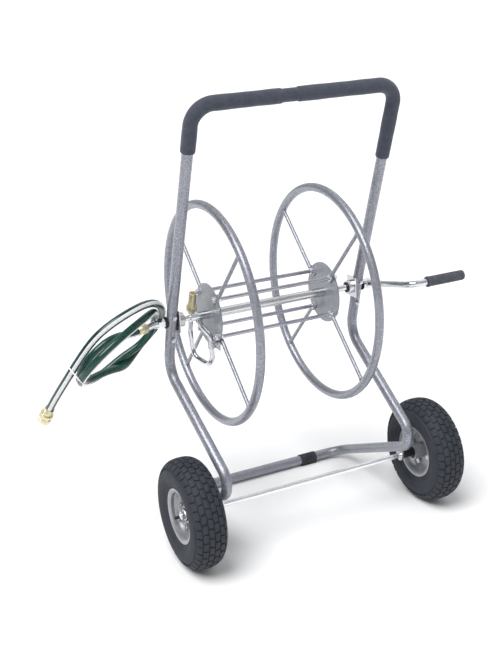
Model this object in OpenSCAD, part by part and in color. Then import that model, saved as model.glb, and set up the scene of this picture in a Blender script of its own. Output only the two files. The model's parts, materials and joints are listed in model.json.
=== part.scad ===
// Garden hose reel cart: a two-wheeled tube frame that carries an open hose reel.
// Cart axes: X along the wheel axle with the crank on +X, Y from the wheels
// towards the ground crossbar, Z up from the ground.

/* [Frame] */
// Outside diameter of the frame tube
tube_d = 25.4; // [22:0.2:28]
// Wall of the frame tube
tube_wall = 1.5; // [1.2:0.1:2]
// Height of the handle's top bar above the ground, to its centre
handle_z = 1041; // [1000:1:1100]
// Centre-to-centre width of the handle
handle_w = 500; // [480:1:520]
// Bend radius at the handle's two corners
handle_bend_r = 48; // [40:1:60]
// Outside diameter of the foam on the handle
foam_d = 34; // [30:0.5:38]

/* [Wheels] */
// Outside diameter of the tyres
wheel_d = 260; // [250:1:270]
// Width of the tyres
tyre_w = 83; // [76:1:90]
// Distance between the wheels' centre planes
track = 642; // [620:1:660]
// Diameter of the wheel axle
axle_d = 12.7; // [10:0.1:16]

/* [Reel] */
// Radius of the reel rings, to the centre of their tube
ring_r = 264; // [240:1:270]
// Outside diameter of the ring tube
ring_tube_d = 21; // [18:0.5:24]
// Distance between the two rings
ring_gap = 308; // [280:1:320]
// Diameter of the round hub plates
plate_d = 152; // [146:1:170]
// Radius of the circle on which the tie rods stand
tie_circle_r = 65; // [60:1:68]
// Diameter of the tie rods and of the spokes
rod_d = 9.5; // [8:0.1:10]
// Diameter of the crank shaft
shaft_d = 16; // [14:0.5:18]
// Length of the crank arm, between its two axes
crank_arm = 205; // [150:1:220]

/* [Leader hose] */
// Outside diameter of the leader hose
hose_d = 18.5; // [16:0.5:20]

/* [Hidden] */

$fn = 64;
sides = [-1, 1];
running = 0.05;          // radial clearance of a shaft that turns in a bush
tube_r = tube_d / 2;
bore_r = tube_r - tube_wall;
wheel_r = wheel_d / 2;
wheel_x = track / 2;
reel_y = 211;            // the reel's axis, behind the wheel axle and above the ground
reel_z = 519;
ring_x = ring_gap / 2;
ring_tube_r = ring_tube_d / 2;
rod_r = rod_d / 2;
plate_t = 3;
plate_x = ring_x + 3;    // inner face of a hub plate
spoke_x = plate_x - rod_r;
first_spoke = 43;        // angle of the first spoke above +Y
shaft_r = shaft_d / 2;
water_r = 6.35;          // the water shaft and the gooseneck pipe

// Frame corners on the +X side. The lower frame's plane leans in towards the wheels.
top_corner = [handle_w / 2, 22, handle_z];
seam = [255.5, 202, 545];
elbow = [257, 247, 386];
low_corner = [244.5, -81, 191];
foot_wall = 2;
ground_corner = [258.5, 312, tube_r + foot_wall];
elbow_r = 60;
low_bend_r = 38;
ground_bend_r = 50;
plug_len = 110;          // the handle's narrowed end inside the lower tube
plug_r = bore_r - 0.15;
bolt_r = 3;
bolt_clear = 0.3;
bolt_drops = [8, 70];    // the two bolts of a leg, below the seam
shaft_hole_r = 9.8;
foam_end_left_z = 940;
foam_end_right_z = 868;
band_left_x = -43;       // the two foam sleeves leave a short band between them
band_right_x = -2;

bracket_t = 5;
bracket_x = 247.2;
hub_in_x = 282;
hub_out_x = 337;
hub_r = 20;
rim_r = 65;
rim_bolt_circle_r = 33.5;

crank_x = 285;
crank_angle = 167;       // arm's angle above +Y at rest
grip_from_x = 330;
grip_to_x = 436;
grip_r = 12.5;
crank_bend_r = 24;

// The whole part stands on the middle of its own footprint.
origin_x = (grip_to_x - wheel_x - tyre_w / 2) / 2;
origin_y = (reel_y + ring_r + ring_tube_r - wheel_r) / 2;

// Gooseneck pipe, measured from the reel axis: X outwards, then Y and Z.
neck_route = [
    [-186, -5, -13], [-183, -10, -24], [-170, -28, -44], [-171, -40, -122],
    [-189, 38, -112], [-192, 43, -44], [-192, 26, 10]
];
neck_bend_r = [0, 12, 16, 26, 28, 30, 0];

// Leader hose. Its route lies in the coil's own axes: out along the coil,
// across it towards the handle, and up its axis.
coil_long = [-0.783, 0.143, -0.605];
coil_wide = [-0.522, -0.681, 0.514];
coil_axis = cross(coil_long, coil_wide);
hose_route = [
    [-54, -12, 0], [-37, 1, 2], [-18, 32, 9], [14, 54, 10], [54, 58, 7], [93, 42, 5], [120, 7, 5],
    [125, -37, 7], [107, -78, 10], [70, -103, 13], [22, -106, 14], [-27, -113, 6], [-73, -101, 9], [-104, -68, 17],
    [-115, -22, 14], [-101, 26, -2], [-64, 77, -18], [-12, 115, -30], [44, 124, -35], [90, 101, -32], [115, 59, -23],
    [113, 12, -13], [84, -28, -7], [54, -67, -7], [37, -106, -9], [14, -134, 5], [-24, -147, 20], [-73, -141, 22],
    [-113, -105, 19], [-132, -46, 15], [-132, 17, 12], [-114, 68, 8], [-78, 102, 6], [-34, 121, 7], [11, 123, 9],
    [56, 108, 6], [102, 84, 3], [146, 57, 1], [187, 27, 1], [223, -5, 1]
];
hose_r = hose_d / 2;
hose_steps = 2;          // rings per span of the route
hose_sides = 10;

// ---------- helpers ----------
function unit(v) = v / norm(v);
function flip(p, side) = [p[0] * side, p[1], p[2]];
function reel_point(x, r, a) = [x, reel_y + r * cos(a), reel_z + r * sin(a)];
function from_reel(p) = [p[0], reel_y + p[1], reel_z + p[2]];

module placed() translate([-origin_x, -origin_y, 0]) children();

// Children drawn along +Z are set along the line from a to b.
module along(a, b) {
    d = b - a;
    translate(a) rotate([0, acos(d[2] / norm(d)), atan2(d[1], d[0])]) children();
}

module rod(a, b, r, bore = 0)
    along(a, b) difference() {
        cylinder(h = norm(b - a), r = r);
        if (bore > 0) translate([0, 0, -1]) cylinder(h = norm(b - a) + 2, r = bore);
    }

// Children drawn along +Z are set along +X from x, on the line at y and z.
module on_x(x, y, z) translate([x, y, z]) rotate([0, 90, 0]) children();
module on_reel(x) on_x(x, reel_y, reel_z) children();
module on_axle(x) on_x(x, 0, wheel_r) children();

module ring_disc(h, r, bore) difference() {
    cylinder(h = h, r = r);
    translate([0, 0, -1]) cylinder(h = h + 2, r = bore);
}

// How far a bend eats into each of its two straight runs.
function turn(p, i) = acos(unit(p[i] - p[i - 1]) * unit(p[i + 1] - p[i]));
function setback(p, radii, i) =
    (i == 0 || i == len(p) - 1) ? 0 : radii[i] * tan(turn(p, i) / 2);

// A bend draws the tube down a hair, so it tucks inside the straights that lap its ends.
drawn = 0.05;
function lap(radius) = 0.6 * sqrt(drawn * radius);

module bend(p, radii, i, r) {
    u = unit(p[i] - p[i - 1]);
    v = unit(p[i + 1] - p[i]);
    t = turn(p, i);
    centre = p[i] + unit(v - u) * radii[i] / cos(t / 2);
    x = unit(p[i] - u * setback(p, radii, i) - centre);
    z = cross(x, u);
    multmatrix([
        [x[0], u[0], z[0], centre[0]],
        [x[1], u[1], z[1], centre[1]],
        [x[2], u[2], z[2], centre[2]],
        [0, 0, 0, 1]
    ]) rotate_extrude(angle = t) translate([radii[i], 0]) circle(r = r);
}

// A rod through the corners p, bent to radii at each of them; extra lengthens its ends.
module bent_rod(p, radii, r, extra = 0) {
    last = len(p) - 1;
    for (i = [0:last - 1]) {
        u = unit(p[i + 1] - p[i]);
        a = i == 0 ? -extra : setback(p, radii, i) - lap(radii[i]);
        b = i == last - 1 ? -extra : setback(p, radii, i + 1) - lap(radii[i + 1]);
        rod(p[i] + u * a, p[i + 1] - u * b, r);
    }
    for (i = [1:last - 1]) bend(p, radii, i, r - drawn);
}

module bent_tube(p, radii, r, bore) difference() {
    bent_rod(p, radii, r);
    bent_rod(p, radii, bore, 1);
}

module hex_nut(h, across, bore) difference() {
    cylinder(h = h, r = across / 2 / cos(30), $fn = 6);
    translate([0, 0, -1]) cylinder(h = h + 2, r = bore);
}

module domed_head(r, h) intersection() {
    cylinder(h = h, r = r);
    translate([0, 0, h - r * 1.25]) sphere(r = r * 1.25);
}

// ---------- frame ----------
leg_dir = unit(elbow - seam);
function leg_point(side, drop) = flip(seam + leg_dir * drop, side);
leg_front = unit(cross([1, 0, 0], leg_dir));

handle_foot = seam + unit(top_corner - seam);
module leg_bolt_holes() for (side = sides, drop = bolt_drops)
    rod(leg_point(side, drop) - leg_front * 20, leg_point(side, drop) + leg_front * 20,
        bolt_r + bolt_clear);

module shaft_hole() on_reel(-300) cylinder(h = 600, r = shaft_hole_r);

module handle_tube() color([0.46, 0.47, 0.48]) difference() {
    union() {
        bent_tube([flip(handle_foot, -1), flip(top_corner, -1), top_corner, handle_foot],
            [0, handle_bend_r, handle_bend_r, 0], tube_r, bore_r);
        for (side = sides)
            rod(flip(seam, side), leg_point(side, plug_len), plug_r, plug_r - tube_wall);
        for (side = sides)
            rod(leg_point(side, -6), leg_point(side, 0), 12, plug_r - tube_wall);
    }
    leg_bolt_holes();
    shaft_hole();
}

lower_half = [seam, elbow, low_corner, ground_corner];
lower_route = concat([for (i = [0:3]) flip(lower_half[i], -1)], [for (i = [3:-1:0]) lower_half[i]]);
lower_radii = [0, elbow_r, low_bend_r, ground_bend_r, ground_bend_r, low_bend_r, elbow_r, 0];

module lower_frame_tube() color([0.46, 0.47, 0.48]) difference() {
    bent_tube(lower_route, lower_radii, tube_r, bore_r);
    leg_bolt_holes();
    shaft_hole();
}

function handle_at(side, z) =
    flip(seam + (top_corner - seam) * (z - seam[2]) / (top_corner[2] - seam[2]), side);

module foam_grip(side, low_z, band_x) color([0.2, 0.22, 0.25])
    bent_tube([handle_at(side, low_z), flip(top_corner, side), [band_x, top_corner[1], handle_z]],
        [0, handle_bend_r, 0], foam_d / 2, tube_r + 0.02);

module grip_joint_band() color([0.3, 0.32, 0.35])
    on_x(band_left_x, top_corner[1], handle_z)
        ring_disc(band_right_x - band_left_x, foam_d / 2 - 1.5, tube_r);

module leg_bolt(side, drop) {
    centre = leg_point(side, drop);
    front = centre + leg_front * (tube_r + 0.05);
    back = centre - leg_front * (tube_r + 0.05);
    rod(back - leg_front * 7.5, front + leg_front, bolt_r);
    along(front, front + leg_front) domed_head(6.5, 5);
    along(back - leg_front * 6, back) hex_nut(6, 10, bolt_r - 0.2);
}

module leg_bolts() color("gainsboro")
    for (side = sides, drop = bolt_drops) leg_bolt(side, drop);

housing_in = 226;
housing_t = 14;
flange_x = 268.6;        // the bush's outer flange lies on the leg
union_x = -273;
module bearing_housings() color("silver") for (side = sides) mirror([side < 0 ? 1 : 0, 0, 0]) {
    on_reel(housing_in) ring_disc(housing_t, 17, 13);
    translate([housing_in + housing_t, reel_y - 20, reel_z - 26]) difference() {
        cube([2.7, 40, 52]);
        translate([-1, 20, 26]) rotate([0, 90, 0]) cylinder(h = 5, r = shaft_hole_r);
    }
}

// The bush's flange sits in the housing and its barrel goes through the leg.
module bearing_bush(side, r) color([0.1, 0.1, 0.11]) mirror([side < 0 ? 1 : 0, 0, 0]) {
    on_reel(housing_in - 2) ring_disc(housing_t + 2, 12.95, r + running);
    on_reel(housing_in + housing_t) ring_disc(flange_x - housing_in - housing_t, shaft_hole_r - 0.2, r + running);
    on_reel(flange_x) ring_disc(side < 0 ? -union_x - flange_x : 2.5, 14, r + running);
}

module axle_brackets() color("silver") for (side = sides)
    difference() {
        union() {
            on_axle(side * bracket_x - bracket_t / 2) cylinder(h = bracket_t, r = 13);
            translate([side * bracket_x - bracket_t / 2, -13, wheel_r]) cube([bracket_t, 26, 22]);
        }
        on_axle(side * bracket_x - bracket_t) cylinder(h = bracket_t * 2, r = axle_d / 2);
        rod(flip(low_corner, side), flip(ground_corner, side), tube_r + 0.05);
    }

axle_end_x = 349;
module axle_rod() color("gainsboro")
    on_axle(-axle_end_x) cylinder(h = 2 * axle_end_x, r = axle_d / 2);

module both_axle_ends(x) for (side = sides) mirror([side < 0 ? 1 : 0, 0, 0]) on_axle(x) children();

module axle_spacers() color([0.15, 0.15, 0.16])
    both_axle_ends(bracket_x + bracket_t / 2) ring_disc(hub_in_x - bracket_x - bracket_t / 2 - 0.4, 10, axle_d / 2);
module axle_washers() color("silver")
    both_axle_ends(hub_out_x + 0.4) ring_disc(2, 13, axle_d / 2);
module axle_nuts() color("silver")
    both_axle_ends(hub_out_x + 2.4) hex_nut(8, 19, axle_d / 2);

// Rubber saddles under the ground crossbar, flat below.
foot_x = 153;
foot_len = 46;
module foot(side) color([0.12, 0.12, 0.13])
    translate([side * foot_x - foot_len / 2, ground_corner[1], ground_corner[2]]) difference() {
        union() {
            rotate([0, 90, 0]) cylinder(h = foot_len, r = tube_r + foot_wall);
            translate([0, -10, -tube_r - foot_wall]) cube([foot_len, 20, 10]);
        }
        translate([-1, 0, 0]) rotate([0, 90, 0]) cylinder(h = foot_len + 2, r = tube_r);
    }

// ---------- wheels ----------
bead_r = 57;
// Half section of the tyre: radius and half width, round over the shoulders.
tyre_mid_r = 92;
function tyre_edge(a) = [
    tyre_mid_r + (wheel_r - tyre_mid_r) * pow(max(0, sin(a)), 0.8),
    tyre_w / 2 * pow(max(0, cos(a)), 0.8)
];
tyre_half = concat([[bead_r, 26.8], [60, 28.8], [65, 30.3], [72, 35.5], [82, 40.3]], [for (a = [0:9:90]) tyre_edge(a)]);
tyre_section = concat(tyre_half, [for (i = [len(tyre_half) - 2:-1:0]) [tyre_half[i][0], -tyre_half[i][1]]]);

module wheel_at(side) mirror([side < 0 ? 1 : 0, 0, 0]) on_axle(wheel_x) children();

module tyre(side) color([0.13, 0.14, 0.16])
    wheel_at(side) rotate_extrude($fn = 96) polygon(tyre_section);

// Each rim half is a dished steel pressing with a bead seat and a flange.
rim_wall = 2;
function rim_half(s) = [
    [hub_r + 0.2, s * 7], [43, s * 7], [50, s * 11], [54, s * 17], [bead_r, s * 20], [bead_r, s * 27],
    [60, s * 29], [rim_r, s * 30.5], [rim_r, s * 32.5], [59, s * 31.4], [bead_r - rim_wall, s * 28.4],
    [bead_r - rim_wall, s * 20.8], [52.3, s * 18.2], [48.6, s * 12.6], [42.4, s * (7 + rim_wall)],
    [hub_r + 0.2, s * (7 + rim_wall)]
];
module bolt_circle(r, n, start = 12) for (i = [0:n - 1]) rotate(start + i * 360 / n) translate([r, 0, 0]) children();

module rim(side, s) color([0.5, 0.51, 0.53]) wheel_at(side) difference() {
    rotate_extrude($fn = 96) polygon(rim_half(s));
    bolt_circle(rim_bolt_circle_r, 4) translate([0, 0, -20]) cylinder(h = 40, r = 4.3);
    if (s > 0) rotate(valve_angle) translate([valve_r, 0, -40]) cylinder(h = 80, r = 4);
}

module hub(side) color([0.5, 0.51, 0.53]) wheel_at(side) difference() {
    union() {
        translate([0, 0, hub_in_x - wheel_x]) ring_disc(hub_out_x - hub_in_x, hub_r, 16);
        for (s = sides) translate([0, 0, s * 4 - 3]) ring_disc(6, 43, hub_r - 1);
    }
    bolt_circle(rim_bolt_circle_r, 4) translate([0, 0, -20]) cylinder(h = 40, r = 4.3);
}

module wheel_bushes(side) color([0.12, 0.12, 0.13]) wheel_at(side)
    for (z = [hub_in_x - wheel_x, hub_out_x - wheel_x - 14])
        translate([0, 0, z]) ring_disc(14, 16, axle_d / 2 + running);

module rim_bolts(side) color("silver") wheel_at(side) bolt_circle(rim_bolt_circle_r, 4) {
    translate([0, 0, -15]) cylinder(h = 33, r = 4);
    translate([0, 0, 7 + rim_wall]) cylinder(h = 5, r = 6.5 / cos(30), $fn = 6);
    translate([0, 0, -7 - rim_wall - 6.5]) cylinder(h = 6.5, r = 6.5 / cos(30), $fn = 6);
}

valve_r = 38;
valve_angle = 57;
module valve_stem(side) color([0.08, 0.08, 0.09]) wheel_at(side) rotate(valve_angle)
    translate([valve_r, 0, 7]) {
        cylinder(h = 12, r = 3.8);
        translate([0, 0, rim_wall]) cylinder(h = 2, r = 5);
        translate([0, 0, 11]) cylinder(h = 6, r = 2.9);
        translate([0, 0, 15]) cylinder(h = 8, r = 3.6);
    }

// ---------- reel ----------
spoke_angles = [for (i = [0:3]) first_spoke + 90 * i];

module ring(side) color([0.46, 0.47, 0.48]) difference() {
    on_reel(side * ring_x) rotate_extrude($fn = 128) translate([ring_r, 0]) difference() {
        circle(r = ring_tube_r, $fn = 32);
        circle(r = ring_tube_r - 1.5, $fn = 32);
    }
    for (a = spoke_angles)
        rod(reel_point(side * spoke_x, ring_r - 16, a), reel_point(side * spoke_x, ring_r - 7, a), 3);
}

spoke_end_r = ring_r - ring_tube_r + 0.6;
module spokes(side) color([0.46, 0.47, 0.48]) difference() {
    for (a = spoke_angles) {
        rod(reel_point(side * spoke_x, tie_circle_r + 9, a), reel_point(side * spoke_x, spoke_end_r, a), rod_r);
        rod(reel_point(side * spoke_x, spoke_end_r - 2, a), reel_point(side * spoke_x, ring_r - 7.5, a), 2.8);
        translate([side * (plate_x - 1.5), reel_y, reel_z]) rotate([a, 0, 0])
            translate([0, tie_circle_r, 0]) cube([3, 26, 14], center = true);
    }
    tie_rod_holes();
    if (side < 0) clamp_bolt_hole();
}

tie_hole_r = rod_r + 0.2;
module tie_rod_holes() for (a = spoke_angles)
    rod(reel_point(-plate_x - 20, tie_circle_r, a), reel_point(plate_x + 20, tie_circle_r, a), tie_hole_r);

module hub_plate(side) color([0.55, 0.57, 0.59]) difference() {
    mirror([side < 0 ? 1 : 0, 0, 0]) on_reel(plate_x)
        ring_disc(plate_t, plate_d / 2, side < 0 ? water_r + 0.1 : shaft_r + 0.1);
    tie_rod_holes();
    if (side < 0) clamp_bolt_hole();
}

tie_end_x = plate_x + plate_t + 10;
module tie_rods() color([0.75, 0.73, 0.78]) for (a = spoke_angles)
    rod(reel_point(-tie_end_x, tie_circle_r, a), reel_point(tie_end_x, tie_circle_r, a), rod_r);

module tie_rod_nuts() color("silver") for (a = spoke_angles, side = sides)
    mirror([side < 0 ? 1 : 0, 0, 0]) {
        on_x(plate_x + plate_t, reel_y + tie_circle_r * cos(a), reel_z + tie_circle_r * sin(a))
            hex_nut(7, 15, rod_r);
        on_x(plate_x - 3 - 6, reel_y + tie_circle_r * cos(a), reel_z + tie_circle_r * sin(a))
            hex_nut(6, 15, rod_r);
    }

core_r = 11;
module core_tube() color([0.8, 0.8, 0.82])
    on_reel(-plate_x) ring_disc(2 * plate_x, core_r, shaft_r);

shaft_from_x = -120;
shaft_to_x = crank_x + 9;
module crank_shaft() color("gainsboro")
    on_reel(shaft_from_x) cylinder(h = shaft_to_x - shaft_from_x, r = shaft_r);

// Hollow shaft that brings the water in through the left bearing.
water_from_x = -286;
neck_start = from_reel(neck_route[0]);
neck_way = unit(neck_route[1] - neck_route[0]);
module neck_passage() rod(neck_start - neck_way * 12, neck_start + neck_way, 3.8);

module water_shaft() color("gainsboro") difference() {
    on_reel(water_from_x) ring_disc(shaft_from_x - water_from_x - 10, water_r, 4.5);
    neck_passage();
}

sleeve_out_x = 208;
module swivel_sleeve() color("gainsboro") difference() {
    union() {
        on_reel(-sleeve_out_x) cylinder(h = sleeve_out_x - plate_x - plate_t, r = 10);
        rod(neck_start - neck_way * 12, neck_start, 8);
    }
    on_reel(-sleeve_out_x - 1) cylinder(h = 80, r = water_r);
    neck_passage();
}

module gooseneck_pipe() color("gainsboro")
    bent_tube([for (p = neck_route) from_reel(p)], neck_bend_r, water_r, 4.8);

clamp_pipe_a = from_reel(neck_route[2]);
clamp_pipe_b = from_reel(neck_route[3]);
clamp_dir = unit(clamp_pipe_b - clamp_pipe_a);
clamp_mid = clamp_pipe_a + clamp_dir * 22;
clamp_bolt_at = [-plate_x - plate_t, clamp_mid[1] - 19, clamp_mid[2] + 4];

module clamp_bolt_hole()
    translate([-plate_x - plate_t - 5, clamp_bolt_at[1], clamp_bolt_at[2]]) rotate([0, 90, 0]) cylinder(h = 12, r = 3.2);

// A band round the pipe with an ear that is bolted flat to the hub plate.
module gooseneck_clamp() color("silver") difference() {
    union() {
        rod(clamp_mid - clamp_dir * 10, clamp_mid + clamp_dir * 10, water_r + 2);
        translate([-plate_x - plate_t - 2, clamp_mid[1] - 30, clamp_mid[2] - 8]) cube([2, 32, 18.5]);
        translate([-170, clamp_mid[1] - 3, clamp_mid[2] - 8]) cube([170 - plate_x - plate_t, 5, 17]);
    }
    rod(clamp_mid - clamp_dir * 20, clamp_mid + clamp_dir * 20, water_r);
    clamp_bolt_hole();
}

module clamp_bolt() color("gainsboro") {
    translate(clamp_bolt_at - [2 + 4.5, 0, 0]) rotate([0, 90, 0]) cylinder(h = 4.5, r = 5 / cos(30), $fn = 6);
    translate(clamp_bolt_at - [3, 0, 0]) rotate([0, 90, 0]) cylinder(h = 12, r = 3);
}

outlet_dir = unit(neck_route[6] - neck_route[5]);
outlet_from = from_reel(neck_route[6]);
outlet_barb_r = 9.2;
module outlet_fitting() color([0.85, 0.78, 0.55]) along(outlet_from, outlet_from + outlet_dir) difference() {
    union() {
        translate([0, 0, -9]) cylinder(h = 9, r = 8.6);
        cylinder(h = 14, r = 12.5 / cos(30), $fn = 6);
        translate([0, 0, 14]) cylinder(h = 35, r = outlet_barb_r);
    }
    translate([0, 0, -10]) cylinder(h = 10, r = water_r);
    translate([0, 0, -1]) cylinder(h = 60, r = 5.5);
}

function crank_point(x, r) = reel_point(x, r, crank_angle);
collar_from_x = 272;
module crank_collar() color("silver") on_reel(collar_from_x)
    ring_disc(shaft_to_x - collar_from_x, 12.5, shaft_r);

module crank_rod() color("gainsboro") difference() {
    bent_rod([crank_point(crank_x, 11), crank_point(crank_x, crank_arm), crank_point(grip_to_x - 3, crank_arm)],
        [0, crank_bend_r, 0], shaft_r);
    on_reel(collar_from_x - 1) cylinder(h = 30, r = 12.5);
}

module crank_grip() color([0.13, 0.13, 0.14]) difference() {
    rod(crank_point(grip_from_x, crank_arm), crank_point(grip_to_x, crank_arm), grip_r);
    rod(crank_point(grip_from_x - 1, crank_arm), crank_point(grip_to_x - 2.5, crank_arm), shaft_r + running);
}

// ---------- water inlet and leader hose ----------
function coil_way(p) = coil_long * p[0] + coil_wide * p[1] + coil_axis * p[2];
start_way = unit(coil_way(hose_route[1] - hose_route[0]));
inlet_corner = [-301, reel_y, reel_z];
inlet_face = inlet_corner + start_way * 20;
coil_centre = inlet_corner + start_way * 44.7 - coil_way(hose_route[0]);
function coil_point(p) = coil_centre + coil_way(p);

// Uniform cubic spline that starts and ends on the route's own end points.
route_last = len(hose_route) - 1;
function route(i) =
    i < 0 ? 2 * hose_route[0] - hose_route[1] :
    i > route_last ? 2 * hose_route[route_last] - hose_route[route_last - 1] : hose_route[i];
function spline(i, t) = (
    route(i - 1) * pow(1 - t, 3) + route(i) * (3 * pow(t, 3) - 6 * t * t + 4)
    + route(i + 1) * (-3 * pow(t, 3) + 3 * t * t + 3 * t + 1) + route(i + 2) * pow(t, 3)) / 6;
function spline_way(i, t) = (
    -route(i - 1) * pow(1 - t, 2) + route(i) * (3 * t * t - 4 * t)
    + route(i + 1) * (-3 * t * t + 2 * t + 1) + route(i + 2) * t * t) / 2;

function ring_of(i, t) =
    let (c = spline(i, t), w = unit(spline_way(i, t)), b = unit(cross(w, [0, 0, 1])), n = cross(b, w))
    [for (k = [0:hose_sides - 1]) coil_point(c + hose_r * (b * cos(k * 360 / hose_sides) + n * sin(k * 360 / hose_sides)))];
hose_rings = concat(
    [for (i = [0:route_last - 1], s = [0:hose_steps - 1]) ring_of(i, s / hose_steps)],
    [ring_of(route_last - 1, 1)]
);

module leader_hose() color([0.08, 0.25, 0.2]) {
    m = hose_sides;
    count = len(hose_rings);
    polyhedron(
        points = [for (ring = hose_rings, p = ring) p],
        faces = concat(
            [[for (k = [0:m - 1]) k]],
            [for (j = [0:count - 2], k = [0:m - 1]) let (a = j * m, b = (j + 1) * m, n = (k + 1) % m)
                [a + k, b + k, b + n, a + n]],
            [[for (k = [m - 1:-1:0]) (count - 1) * m + k]]
        ));
}

hose_start = coil_point(spline(0, 0));
hose_end = coil_point(spline(route_last - 1, 1));
end_way = unit(coil_way(spline_way(route_last - 1, 1)));

module inlet_union() color([0.7, 0.7, 0.72]) on_reel(-299) difference() {
    union() {
        cylinder(h = 26, r = 9.5);
        translate([0, 0, 8]) cylinder(h = 16, r = 11 / cos(30), $fn = 6);
    }
    translate([0, 0, 6]) cylinder(h = 30, r = water_r + running);
    translate([0, 0, -1]) cylinder(h = 10, r = 4.5);
}

module inlet_elbow() color("gainsboro")
    bent_tube([inlet_corner + [2, 0, 0], inlet_corner, inlet_face], [0, 12, 0], 8, 4.5);

module inlet_nut() color([0.78, 0.7, 0.45]) along(inlet_face, hose_start)
    difference() {
        cylinder(h = 14, r = 10.5 / cos(30), $fn = 6);
        translate([0, 0, -1]) cylinder(h = 20, r = 4.5);
    }

module hose_inner_ferrule() color([0.78, 0.7, 0.45]) along(inlet_face, hose_start)
    translate([0, 0, 14]) ring_disc(norm(hose_start - inlet_face) - 14, 10.2, 4.5);

// Tie round the three strands that meet near the coil's outer end.
tie_w = 3;
tie_u = 104;
tie_spots = [[82.5, 3], [75, -26.5], [26, 5]];
module hose_tie() color("white")
    multmatrix([
        [coil_wide[0], coil_axis[0], coil_long[0], coil_centre[0]],
        [coil_wide[1], coil_axis[1], coil_long[1], coil_centre[1]],
        [coil_wide[2], coil_axis[2], coil_long[2], coil_centre[2]],
        [0, 0, 0, 1]
    ]) translate([0, 0, tie_u]) linear_extrude(tie_w) difference() {
        offset(r = 1.6) tie_core();
        offset(r = 0.3) tie_core();
    }
module tie_core() hull() for (s = tie_spots) translate(s) circle(r = hose_r + 1.4, $fn = 32);

ferrule_len = 22;
nut_len = 26;
nut_from = 6.4;
washer_from = 17.4;
washer_t = 2.6;
module at_hose_end() along(hose_end, hose_end + end_way) children();

// Ferrule crimped on the hose; its flared stem holds the nut.
module hose_end_ferrule() color([0.85, 0.78, 0.55]) at_hose_end() difference() {
    union() {
        translate([0, 0, -14]) ring_disc(14, hose_r + 2.4, hose_r + 0.3);
        cylinder(h = 6, r = hose_r + 2.4);
        cylinder(h = 14, r = 8.9);
        translate([0, 0, 14]) cylinder(h = 3, r = 11.5);
    }
    translate([0, 0, -1]) cylinder(h = 40, r = 6);
}

faucet_bore_r = 13.2;
module faucet_nut() color([0.85, 0.78, 0.55]) at_hose_end() difference() {
    translate([0, 0, nut_from]) cylinder(h = nut_len, r = 15.5);
    cylinder(h = 30, r = 8.9 + running);
    translate([0, 0, nut_from + 6.8]) cylinder(h = washer_from + washer_t - nut_from - 6.8, r = 13.8);
    translate([0, 0, nut_from + 6.8]) cylinder(h = 30, r = faucet_bore_r);
}

module faucet_washer() color("black") at_hose_end() translate([0, 0, washer_from]) ring_disc(washer_t, 13.7, 6);

// ---------- the whole part ----------
placed() {
    handle_tube();
    foam_grip(-1, foam_end_left_z, band_left_x);  // foam_grip_left
    foam_grip(1, foam_end_right_z, band_right_x);  // foam_grip_right
    grip_joint_band();
    lower_frame_tube();
    leg_bolts();
    bearing_housings();
    bearing_bush(-1, water_r);  // bearing_bush_left
    bearing_bush(1, shaft_r);  // bearing_bush_right
    axle_brackets();
    axle_rod();
    axle_spacers();
    axle_washers();
    axle_nuts();
    foot(-1);  // foot_left
    foot(1);  // foot_right
    tyre(-1);  // tyre_left
    rim(-1, 1);  // rim_outer_left
    rim(-1, -1);  // rim_inner_left
    hub(-1);  // hub_left
    wheel_bushes(-1);  // wheel_bushes_left
    rim_bolts(-1);  // rim_bolts_left
    valve_stem(-1);  // valve_stem_left
    tyre(1);  // tyre_right
    rim(1, 1);  // rim_outer_right
    rim(1, -1);  // rim_inner_right
    hub(1);  // hub_right
    wheel_bushes(1);  // wheel_bushes_right
    rim_bolts(1);  // rim_bolts_right
    valve_stem(1);  // valve_stem_right
    ring(-1);  // ring_left
    ring(1);  // ring_right
    spokes(-1);  // spokes_left
    spokes(1);  // spokes_right
    hub_plate(-1);  // hub_plate_left
    hub_plate(1);  // hub_plate_right
    tie_rods();
    tie_rod_nuts();
    core_tube();
    crank_shaft();
    water_shaft();
    swivel_sleeve();
    gooseneck_pipe();
    gooseneck_clamp();
    clamp_bolt();
    outlet_fitting();
    crank_collar();
    crank_rod();
    crank_grip();
    inlet_union();
    inlet_elbow();
    inlet_nut();
    hose_inner_ferrule();
    leader_hose();
    hose_tie();
    hose_end_ferrule();
    faucet_nut();
    faucet_washer();
}
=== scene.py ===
# Garden hose reel cart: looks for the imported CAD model.
import json
import math
import random

import bpy
from mathutils import Matrix, Vector


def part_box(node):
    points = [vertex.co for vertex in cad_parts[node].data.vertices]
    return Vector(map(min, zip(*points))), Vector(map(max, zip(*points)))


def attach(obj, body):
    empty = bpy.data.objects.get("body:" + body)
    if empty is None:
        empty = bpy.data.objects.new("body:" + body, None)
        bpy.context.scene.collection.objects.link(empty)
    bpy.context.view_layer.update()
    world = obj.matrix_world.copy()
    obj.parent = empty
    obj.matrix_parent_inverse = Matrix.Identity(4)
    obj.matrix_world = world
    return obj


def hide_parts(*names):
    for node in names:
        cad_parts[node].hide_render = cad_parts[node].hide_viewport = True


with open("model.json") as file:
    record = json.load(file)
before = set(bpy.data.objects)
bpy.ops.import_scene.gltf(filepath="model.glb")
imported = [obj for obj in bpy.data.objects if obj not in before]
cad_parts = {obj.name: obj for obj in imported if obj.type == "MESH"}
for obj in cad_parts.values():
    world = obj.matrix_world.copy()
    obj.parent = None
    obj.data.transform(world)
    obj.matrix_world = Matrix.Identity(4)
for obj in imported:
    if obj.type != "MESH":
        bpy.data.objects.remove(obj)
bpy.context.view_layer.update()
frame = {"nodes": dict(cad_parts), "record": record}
MM = 0.001
axle_low, axle_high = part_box("axle_rod")
CART = (axle_low + axle_high) / 2
AXLE_HEIGHT = 130.0


# ---------- places, in cart millimetres: axle at y 0, x 0 half way between the wheels ----------
REEL_Y, REEL_Z = 211, 519


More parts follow.
